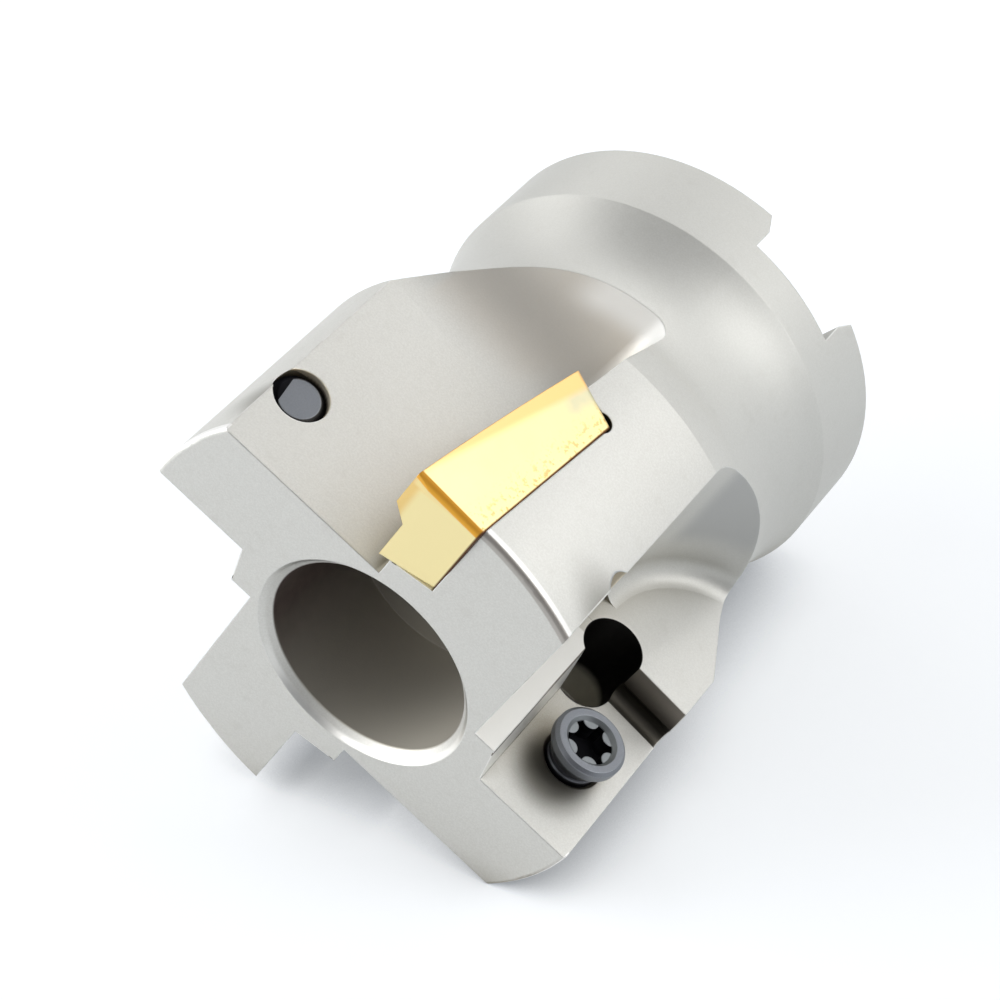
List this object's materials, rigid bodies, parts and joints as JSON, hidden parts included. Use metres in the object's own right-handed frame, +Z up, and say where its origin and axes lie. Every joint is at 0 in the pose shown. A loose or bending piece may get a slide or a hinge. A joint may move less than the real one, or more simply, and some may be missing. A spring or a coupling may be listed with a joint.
{
  "type": "indexable face mill",
  "caption": "Shell-type face mill body lying on its side, with deep chip gullets, insert pockets, a clamped gold-coloured cutting insert, insert screws, a stepped bore and rear drive slots.",
  "frame": {"origin": "centre of the rear seating face, on the axis of the arbor bore", "axes": "+Y along the axis out of the rear face, towards the arbor; the cutting end faces -Y; +Z up, with the mill lying on its side on two teeth and the flange"},
  "size_m": [0.0326, 0.0429, 0.0354],
  "materials": {
    "body_steel": "satin nickel-plated steel, finely blasted",
    "gold_coating": "satin gold-coloured nitride coat on carbide",
    "screw_steel": "blue-black oxidised steel"
  },
  "bodies": {
    "root": {"cutter_body": "body_steel", "cutting_insert": "gold_coating", "insert_screw_1": "screw_steel", "insert_screw_2": "screw_steel", "insert_screw_3": "screw_steel", "insert_screw_4": "screw_steel"}
  },
  "joints": []
}
